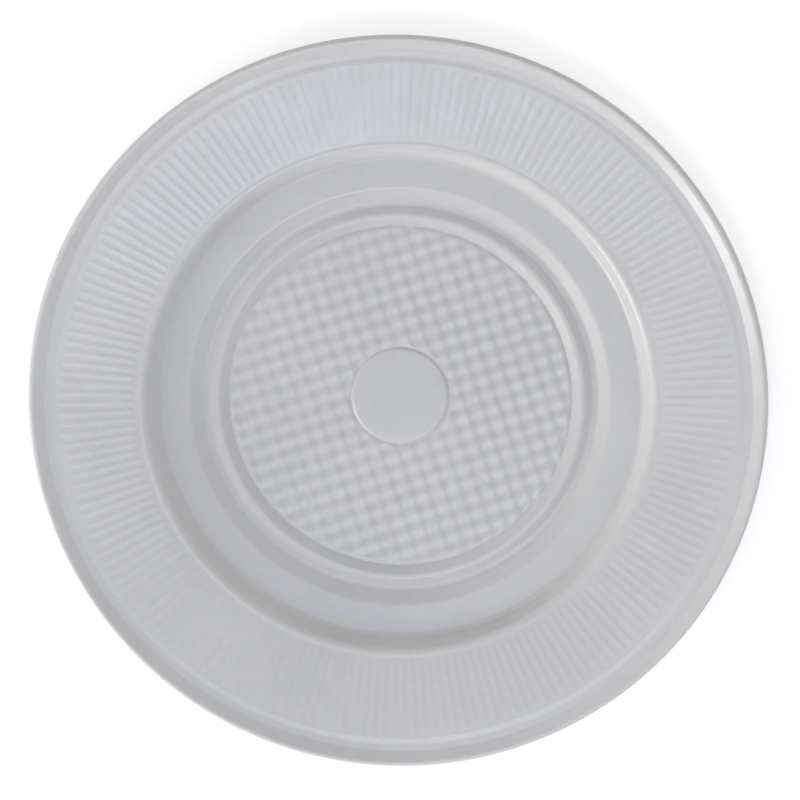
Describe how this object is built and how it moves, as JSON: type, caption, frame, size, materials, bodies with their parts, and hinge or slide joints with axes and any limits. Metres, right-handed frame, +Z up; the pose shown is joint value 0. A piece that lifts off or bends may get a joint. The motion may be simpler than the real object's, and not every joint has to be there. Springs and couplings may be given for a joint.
{
  "type": "disposable plastic plate",
  "caption": "Round disposable plate formed from one thin plastic sheet, with a raised bead at the edge, a ribbed rim, a stepped well, a channel and a waffled floor panel with a plain round boss.",
  "frame": {"origin": "on the plate's axis, at the level of the face that it rests on", "axes": "+Z up along the plate's axis, out of the well"},
  "size_m": [0.22, 0.22, 0.014],
  "materials": {
    "sheet": "satin gloss"
  },
  "bodies": {
    "root": {"plate": "sheet"}
  },
  "joints": []
}
